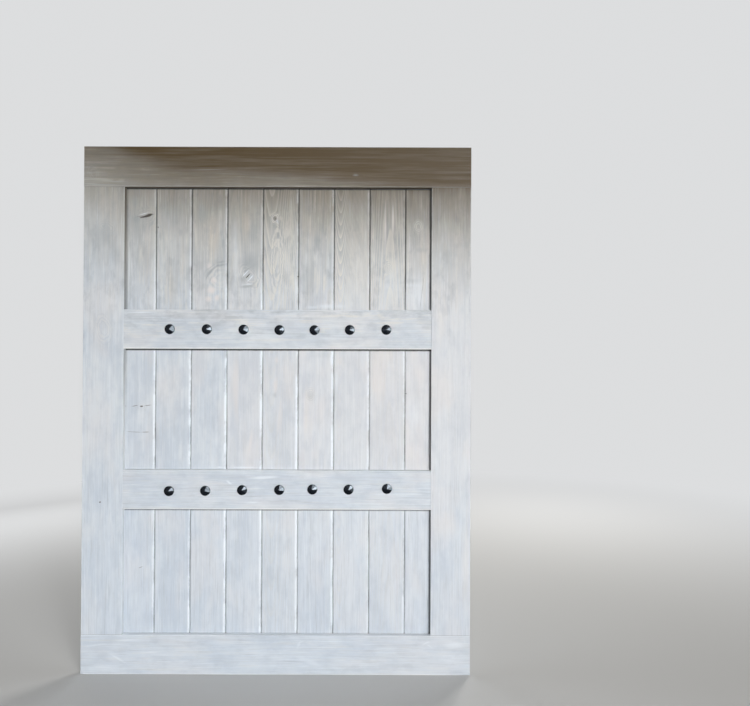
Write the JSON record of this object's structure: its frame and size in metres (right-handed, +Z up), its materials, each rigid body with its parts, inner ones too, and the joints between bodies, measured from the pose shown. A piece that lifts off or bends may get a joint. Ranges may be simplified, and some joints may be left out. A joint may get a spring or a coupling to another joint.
{
  "type": "sliding shutter leaf",
  "caption": "Large wooden shutter leaf: V-jointed upright planks behind a face frame of stiles and rails, with round black studs along the two middle rails.",
  "frame": {"origin": "middle of the leaf's bottom edge, halfway through its overall depth from stud tips to back face", "axes": "+X to the right seen from the front, +Y from the front face to the back, +Z up"},
  "size_m": [1.346, 0.047, 1.829],
  "materials": {
    "frame_wood": "pine with a thin grey-blue wash, grain along each board",
    "plank_wood": "pine with a thin grey-blue wash, upright grain, knots and worn pale arrises",
    "stud_iron": "black, half-gloss, hammered",
    "screw_steel": "dull zinc"
  },
  "bodies": {
    "root": {"bottom_rail": "frame_wood", "bottom_rail_screws": "screw_steel", "left_edge_plank": "plank_wood", "left_stile": "frame_wood", "left_stile_screws": "screw_steel", "lower_middle_rail": "frame_wood", "lower_middle_rail_screws": "screw_steel", "lower_stud_1": "stud_iron", "lower_stud_2": "stud_iron", "lower_stud_3": "stud_iron", "lower_stud_4": "stud_iron", "lower_stud_5": "stud_iron", "lower_stud_6": "stud_iron", "lower_stud_7": "stud_iron", "plank_1": "plank_wood", "plank_2": "plank_wood", "plank_3": "plank_wood", "plank_4": "plank_wood", "plank_5": "plank_wood", "plank_6": "plank_wood", "plank_7": "plank_wood", "plank_8": "plank_wood", "plank_9": "plank_wood", "right_edge_plank": "plank_wood", "right_stile": "frame_wood", "right_stile_screws": "screw_steel", "top_rail": "frame_wood", "top_rail_screws": "screw_steel", "upper_middle_rail": "frame_wood", "upper_middle_rail_screws": "screw_steel", "upper_stud_1": "stud_iron", "upper_stud_2": "stud_iron", "upper_stud_3": "stud_iron", "upper_stud_4": "stud_iron", "upper_stud_5": "stud_iron", "upper_stud_6": "stud_iron", "upper_stud_7": "stud_iron"}
  },
  "joints": []
}
